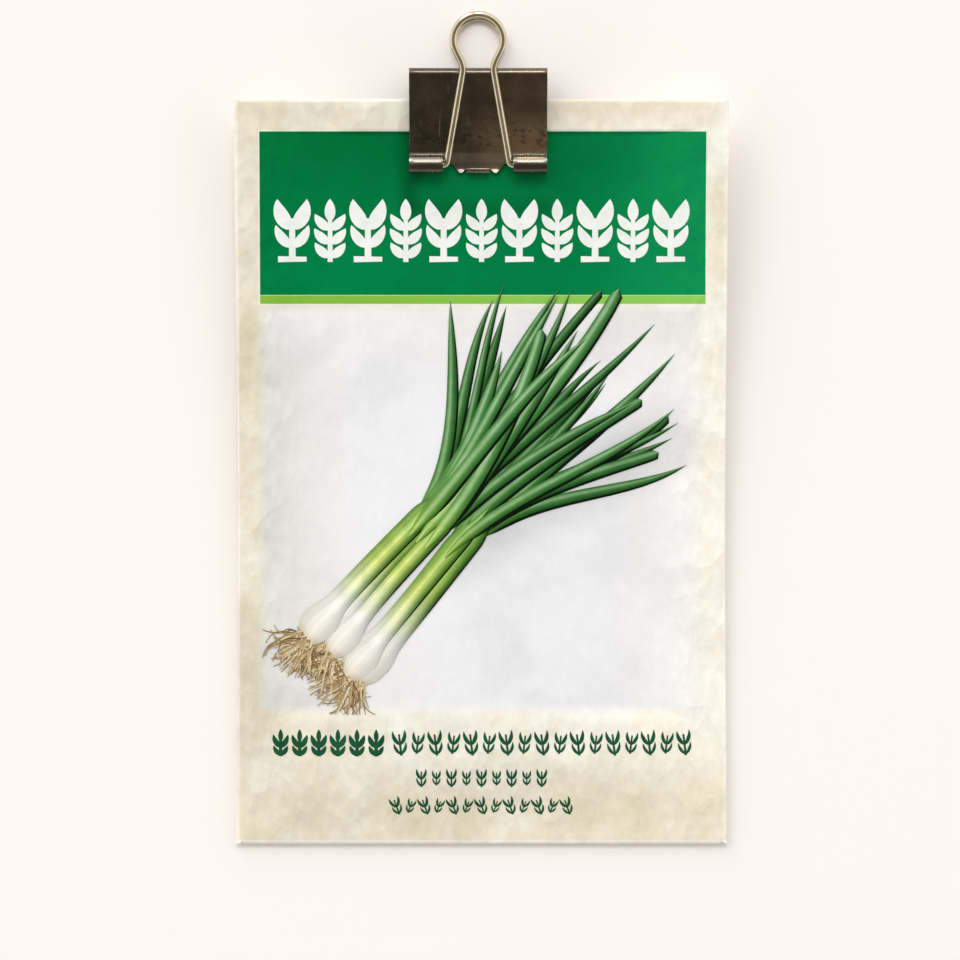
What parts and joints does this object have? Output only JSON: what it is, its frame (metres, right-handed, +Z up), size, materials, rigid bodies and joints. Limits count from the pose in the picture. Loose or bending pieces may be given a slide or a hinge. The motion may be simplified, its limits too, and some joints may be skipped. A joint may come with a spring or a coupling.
{
  "type": "seed packet",
  "caption": "Paper seed packet with printed front, folded and glued sides and foot, seeds inside, and a steel binder clip with two hinged wire handles over its closed top.",
  "frame": {"origin": "bottom centre of the whole object's box, on the surface that it lies on", "axes": "+X across the packet to its printed face's right, +Y from its foot to its clipped top, +Z up out of the printed face"},
  "size_m": [0.09, 0.1522, 0.0164],
  "materials": {
    "printed_paper": "matt cream stock with a slightly glossy print",
    "dry_glue": "dried clear film",
    "seed_coat": "matt black, wrinkled",
    "dark_nickel": "satin dark nickel plate on spring steel",
    "bright_nickel": "bright nickel plate on steel wire"
  },
  "bodies": {
    "packet": {"paper_envelope": "printed_paper", "glue_side_seam": "dry_glue", "glue_bottom_flap": "dry_glue", "seeds": "seed_coat", "clip_spring": "dark_nickel"},
    "front_handle": {"clip_handle_front": "bright_nickel"},
    "rear_handle": {"clip_handle_rear": "bright_nickel"}
  },
  "joints": [
    {"name": "front_handle_fold", "type": "hinge", "parent": "packet", "child": "front_handle", "pos_m": [-0.0006, 0.04778, 0.00795], "axis": [1, 0, 0], "range_deg": [0, 168]},
    {"name": "rear_handle_fold", "type": "hinge", "parent": "packet", "child": "rear_handle", "pos_m": [-0.0006, 0.04822, 0.00332], "axis": [-1, 0, 0], "range_deg": [0, 168]}
  ]
}
